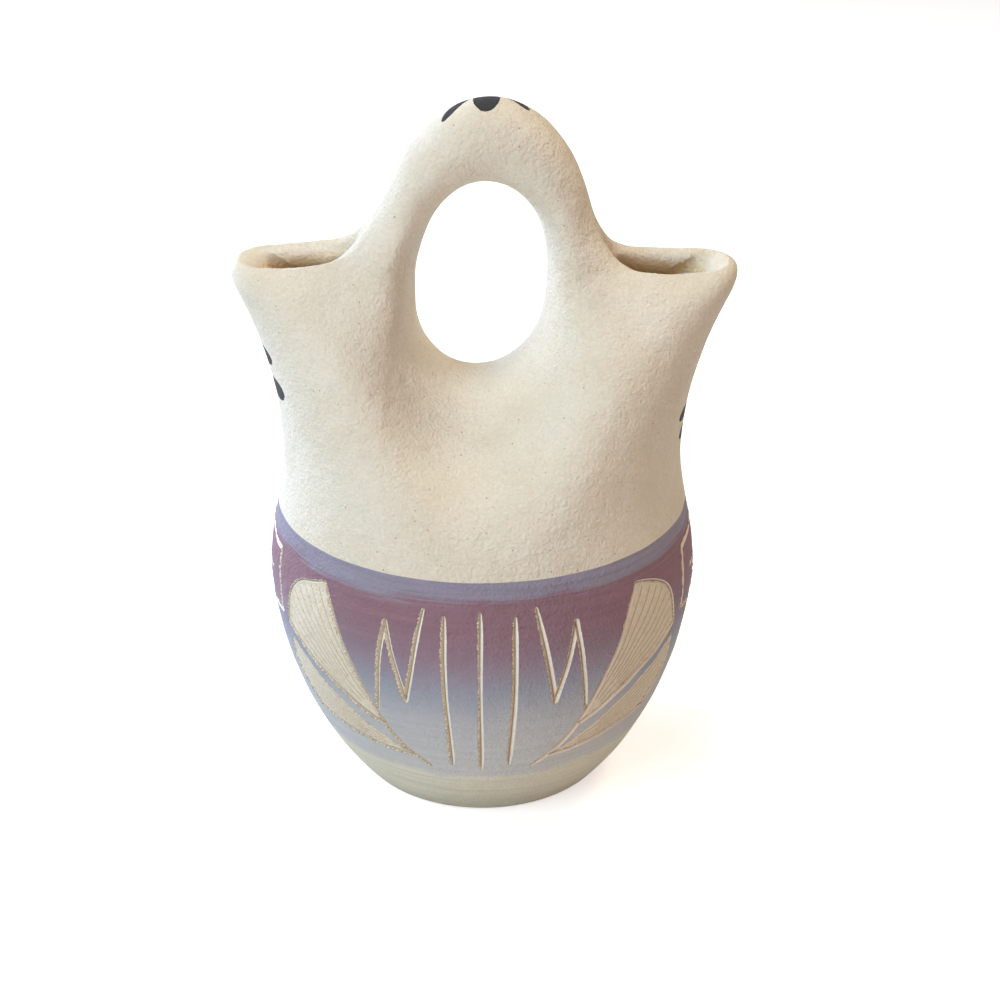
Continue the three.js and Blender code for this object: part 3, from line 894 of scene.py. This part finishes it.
# Colours of the slip from the foot up to the joint, by height in millimetres
SLIP_STOPS = [
    (0, srgb(211, 207, 188)), (11, srgb(216, 211, 192)), (20.5, srgb(219, 216, 199)),
    (22.5, srgb(198, 198, 198)), (35, srgb(194, 195, 197)), (44, srgb(184, 186, 191)),
    (49, srgb(171, 174, 184)), (53, srgb(160, 164, 177)), (57, srgb(155, 152, 167)),
    (61, srgb(153, 140, 154)), (66, srgb(148, 125, 139)), (74, srgb(145, 114, 126)),
    (80.8, srgb(144, 113, 125)), (82.8, srgb(147, 141, 158)), (87, srgb(150, 146, 166)),
]


# Brush streaks that run round the vase, slow waves of the bands, and fine grains of the slip
STREAK_SIZE = 1.1 * MM
STREAK_STRETCH = (0.035, 0.035, 1)
STREAK_SHIFT = 2.2 * MM
STREAK_SHADE = 0.09
WAVE_SIZE = 9 * MM
WAVE_STRETCH = (1, 1, 0.3)
WAVE_SHIFT = 0.9 * MM
SLIP_GRAIN_SIZE = 0.5 * MM
SLIP_GRAIN_SHADE = 0.05


def slip_colour(finish):
    streak = finish.noise(STREAK_SIZE, 3.0, STREAK_STRETCH)
    wave = finish.noise(WAVE_SIZE, 2.0, WAVE_STRETCH)
    slow = finish.math("MULTIPLY", wave, WAVE_SHIFT)
    shift = finish.math("MULTIPLY_ADD", streak, STREAK_SHIFT, slow)
    place = finish.math("DIVIDE", finish.math("ADD", finish.height(), shift), BODY_SEAM)
    colour = finish.ramp(place, [(z * MM / BODY_SEAM, colour) for z, colour in SLIP_STOPS])
    brushed = finish.math("MULTIPLY_ADD", streak, STREAK_SHADE, 1.0)
    grain = finish.noise(SLIP_GRAIN_SIZE, 3.0)
    grains = finish.math("MULTIPLY_ADD", grain, SLIP_GRAIN_SHADE, brushed)
    return finish.node("ShaderNodeVectorMath", {0: colour, 3: grains}, operation="SCALE")


# Colours across an etched stroke from left to right, by the distance from its middle in millimetres: the
# bared pale clay, with painted shade on the left wall, a dark line of painted shadow along the bottom of
# the groove, and a painted highlight on the lit right wall
STROKE_LIGHT_AND_SHADE = [
    (-0.8, srgb(226, 216, 198)), (-0.35, srgb(208, 194, 170)), (-0.1, srgb(190, 172, 144)),
    (0.0, srgb(140, 118, 94)), (0.12, srgb(196, 180, 154)), (0.3, srgb(240, 233, 220)),
    (0.8, srgb(244, 239, 229)),
]
STROKE_SPAN = 1 * MM
CRUMB = srgb(243, 237, 226)
CRUMB_GAP_SHADE = srgb(190, 173, 148)
SCRAPED = srgb(230, 220, 201)
SCRAPED_DARK = srgb(218, 205, 183)
RIB_SHADE = srgb(192, 173, 148)
RIB_EDGE_FADE = 0.2 * MM
SCRATCH_SIZE = 1.2 * MM


# Pale clay bared by a stroke, with painted shade and highlight across its groove and painted shade between
# its crumbs
def stroke_painted_shading(finish, side, crumbs, crumbly):
    place = finish.math("MULTIPLY_ADD", side, 0.5 / STROKE_SPAN, 0.5)
    stops = [((1 + place * MM / STROKE_SPAN) / 2, colour) for place, colour in STROKE_LIGHT_AND_SHADE]
    # Pale crumbs, with painted shade in the gaps between them
    shaded_crumbs = finish.mix(crumbs, CRUMB_GAP_SHADE, CRUMB)
    return finish.mix(crumbly, finish.ramp(place, stops), shaded_crumbs)


# Scraped fans with random scratches, and painted shade in the grooves of their ribs
def fan_colour(finish, rib):
    scratches = finish.rise(finish.noise(SCRATCH_SIZE, 4.0), 0.3, 1.6)
    scratched = finish.mix(scratches, SCRAPED, SCRAPED_DARK)
    return finish.mix(finish.rise(rib, 0, RIB_EDGE_FADE), RIB_SHADE, scratched)


# Edges of the strokes: ragged and crumbly on the left, crisp on the right
RAGGED_SIZE = 0.6 * MM
RAGGED_LEFT = 0.22 * MM
RAGGED_RIGHT = 0.06 * MM
RAGGED_FAN = 0.14 * MM
STROKE_SPREAD = 0.1 * MM
STROKE_EDGE = 0.12 * MM
FAN_EDGE = 0.15 * MM
LEFT_SIDE = -0.15 * MM
LEFT_FADE = 0.5 * MM
CRUMB_SPACING = 0.62 * MM
CRUMB_HEIGHT = 0.14 * MM
CRUMBLY_WIDTH = 0.3 * MM


def slipped_clay():
    finish = Finish("slipped_clay")
    side, rib = finish.attribute("side"), finish.attribute("rib")
    leftward = finish.math("SUBTRACT", 1.0, finish.rise(side, LEFT_SIDE, LEFT_FADE))
    ragged = finish.noise(RAGGED_SIZE, 3.0)
    ragged_left = finish.math("MULTIPLY", ragged, leftward)
    crisp_edge = finish.math("MULTIPLY_ADD", ragged, RAGGED_RIGHT, finish.attribute("stroke"))
    stroke = finish.math("MULTIPLY_ADD", ragged_left, RAGGED_LEFT, crisp_edge)
    etched = finish.math("SUBTRACT", 1.0, finish.rise(stroke, STROKE_SPREAD, STROKE_EDGE))
    crumbs = finish.crumbs(CRUMB_SPACING)
    edge = finish.rise(finish.attribute("stroke"), -CRUMBLY_WIDTH, CRUMBLY_WIDTH)
    crumbly = finish.math("MULTIPLY", leftward, edge)
    fan = finish.math("MULTIPLY_ADD", ragged, RAGGED_FAN, finish.attribute("fan"))
    colour = finish.mix(finish.rise(fan, 0, FAN_EDGE), fan_colour(finish, rib), slip_colour(finish))
    colour = finish.mix(etched, colour, stroke_painted_shading(finish, side, crumbs, crumbly))
    beads = finish.math("MULTIPLY", finish.math("MULTIPLY", crumbs, crumbly), etched)
    height = finish.math("MULTIPLY_ADD", beads, CRUMB_HEIGHT, clay_grain(finish))
    return finish.finish(colour, height, roughness=0.86)


def foot_clay():
    finish = Finish("foot_clay")
    return finish.finish(slip_colour(finish), clay_grain(finish), roughness=0.9)


def dress(piece, node, material):
    piece.data.materials.append(material)
    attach(piece, "root")
    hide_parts(node)


# Room for the grids of the pieces: half its width and depth, and the top of the handle's
SHOULDER_REACH = (FORM_REACH, BELLY_RADIUS + 4 * MM)
SPOUT_REACH = (FORM_REACH, 42 * MM)
HANDLE_REACH = (HANDLE_HALF_WIDTH + 8 * MM, 20 * MM)
HANDLE_TOP = CREST + 3 * MM


def build_vase():
    pale = pale_clay()
    reach = SHOULDER_REACH
    low = (-reach[0], -reach[1], BODY_SEAM)
    shoulder = clay_member("shoulder_clay", shoulder_distance, low, (*reach, FORK_SEAM), SHOULDER_CELL)
    reach = SPOUT_REACH
    low = (-reach[0], -reach[1], FORK_SEAM)
    left = clay_member("left_spout_clay", clay_distance, low, (0, reach[1], HANDLE_SEAM), SPOUT_CELL)
    low = (0, -reach[1], FORK_SEAM)
    right = clay_member("right_spout_clay", clay_distance, low, (*reach, HANDLE_SEAM), SPOUT_CELL)
    reach = HANDLE_REACH
    low = (-reach[0], -reach[1], HANDLE_SEAM)
    handle = clay_member("handle_clay", clay_distance, low, (*reach, HANDLE_TOP), HANDLE_CELL)
    members = [(shoulder, "shoulder"), (left, "left_spout"), (right, "right_spout"), (handle, "handle")]
    for piece, node in members:
        mark_petals(piece)
        mark_inside(piece)
        dress(piece, node, pale)
    dress(build_bowl(), "bowl", slipped_clay())
    dress(build_disc(), "base_disc", foot_clay())


# Camera at the photograph's viewing angle
CAMERA_PLACE = (5.23 * MM, -443.3 * MM, 295.8 * MM)
CAMERA_PITCH = math.radians(25.67)
CAMERA_LENS = 60.5
CAMERA_SENSOR = 36
NEAREST_SEEN = 10 * MM


def place_camera():
    camera = bpy.data.objects.new("camera", bpy.data.cameras.new("camera"))
    camera.location = CAMERA_PLACE
    camera.rotation_euler = (math.pi / 2 - CAMERA_PITCH, 0, 0)
    camera.data.lens = CAMERA_LENS
    camera.data.sensor_width = CAMERA_SENSOR
    camera.data.sensor_fit = "HORIZONTAL"
    camera.data.clip_start = NEAREST_SEEN
    bpy.context.scene.collection.objects.link(camera)
    bpy.context.scene.camera = camera


# Lamps: cool daylight low from the left behind and from the left in front,
# and warm light from the front, from above and from the right behind.
# Azimuths are degrees from the front towards the right, sizes metres and powers watts.
COOL_WINDOW = (0.68, 0.75, 1.0)
COOL_FRONT = (0.58, 0.88, 1.0)
WARM_ROOM = (1.0, 0.42, 0.2)
WARM_TOP = (1.0, 0.94, 0.86)
WARM_BEHIND = (1.0, 0.84, 0.56)
LAMPS = [
    {"name": "window", "azimuth": 230, "elevation": 10, "size": 0.9, "power": 31, "colour": COOL_WINDOW},
    {"name": "front", "azimuth": 320, "elevation": 36, "size": 0.9, "power": 13.5, "colour": COOL_FRONT},
    {"name": "room", "azimuth": 5, "elevation": 30, "size": 0.9, "power": 5.5, "colour": WARM_ROOM},
    {"name": "top", "azimuth": 300, "elevation": 75, "size": 0.5, "power": 10, "colour": WARM_TOP},
    {"name": "behind", "azimuth": 122, "elevation": 48, "size": 0.5, "power": 9, "colour": WARM_BEHIND},
]
LAMP_DISTANCE = 1.6
WORLD_LIGHT = (1.0, 0.97, 0.93)
WORLD_STRENGTH = 0.05
WHITE = (1, 1, 1, 1)
AIM_HEIGHT = 100 * MM


def place_lamp(name, azimuth, elevation, size, power, colour):
    data = bpy.data.lights.new(name, "AREA")
    data.shape = "DISK"
    data.size = size
    data.energy = power
    data.color = colour
    lamp = bpy.data.objects.new(name, data)
    turn, climb = math.radians(azimuth), math.radians(elevation)
    level = LAMP_DISTANCE * math.cos(climb)
    height = AIM_HEIGHT + LAMP_DISTANCE * math.sin(climb)
    lamp.location = (level * math.sin(turn), -level * math.cos(turn), height)
    lamp.rotation_euler = (math.pi / 2 - climb, 0, turn)
    bpy.context.scene.collection.objects.link(lamp)


def light_world():
    world = bpy.data.worlds.new("studio")
    world.use_nodes = True
    bpy.context.scene.world = world
    graph = Graph(world.node_tree)
    light = world.node_tree.nodes["Background"]
    graph.put(light.inputs["Color"], (*WORLD_LIGHT, 1))
    graph.put(light.inputs["Strength"], WORLD_STRENGTH)
    white = graph.node("ShaderNodeBackground", {"Color": WHITE})
    both = graph.node("ShaderNodeMixShader", {0: graph.seen_directly(), 1: light.outputs[0], 2: white})
    graph.put(world.node_tree.nodes["World Output"].inputs["Surface"], both)


# Pale floor, whose glow only the camera sees, so that the shadow stays
FLOOR_SIZE = 6
FLOOR_GLOW = 0.62
FLOOR_GREY = (0.8, 0.8, 0.8, 1)


def lay_floor():
    half = FLOOR_SIZE / 2
    corners = [(-half, -half, 0), (half, -half, 0), (half, half, 0), (-half, half, 0)]
    mesh = bpy.data.meshes.new("floor")
    mesh.from_pydata(corners, [], [(0, 1, 2, 3)])
    floor = bpy.data.objects.new("floor", mesh)
    bpy.context.scene.collection.objects.link(floor)
    finish = Finish("floor")
    finish.put(finish.surface.inputs["Base Color"], FLOOR_GREY)
    finish.put(finish.surface.inputs["Roughness"], 1.0)
    finish.put(finish.surface.inputs["Specular IOR Level"], 0.0)
    finish.put(finish.surface.inputs["Emission Color"], WHITE)
    glow = finish.math("MULTIPLY", finish.seen_directly(), FLOOR_GLOW)
    finish.put(finish.surface.inputs["Emission Strength"], glow)
    floor.data.materials.append(finish.material)


build_vase()
place_camera()
for lamp in LAMPS:
    place_lamp(**lamp)
light_world()
lay_floor()
bpy.context.scene.view_settings.view_transform = "Standard"
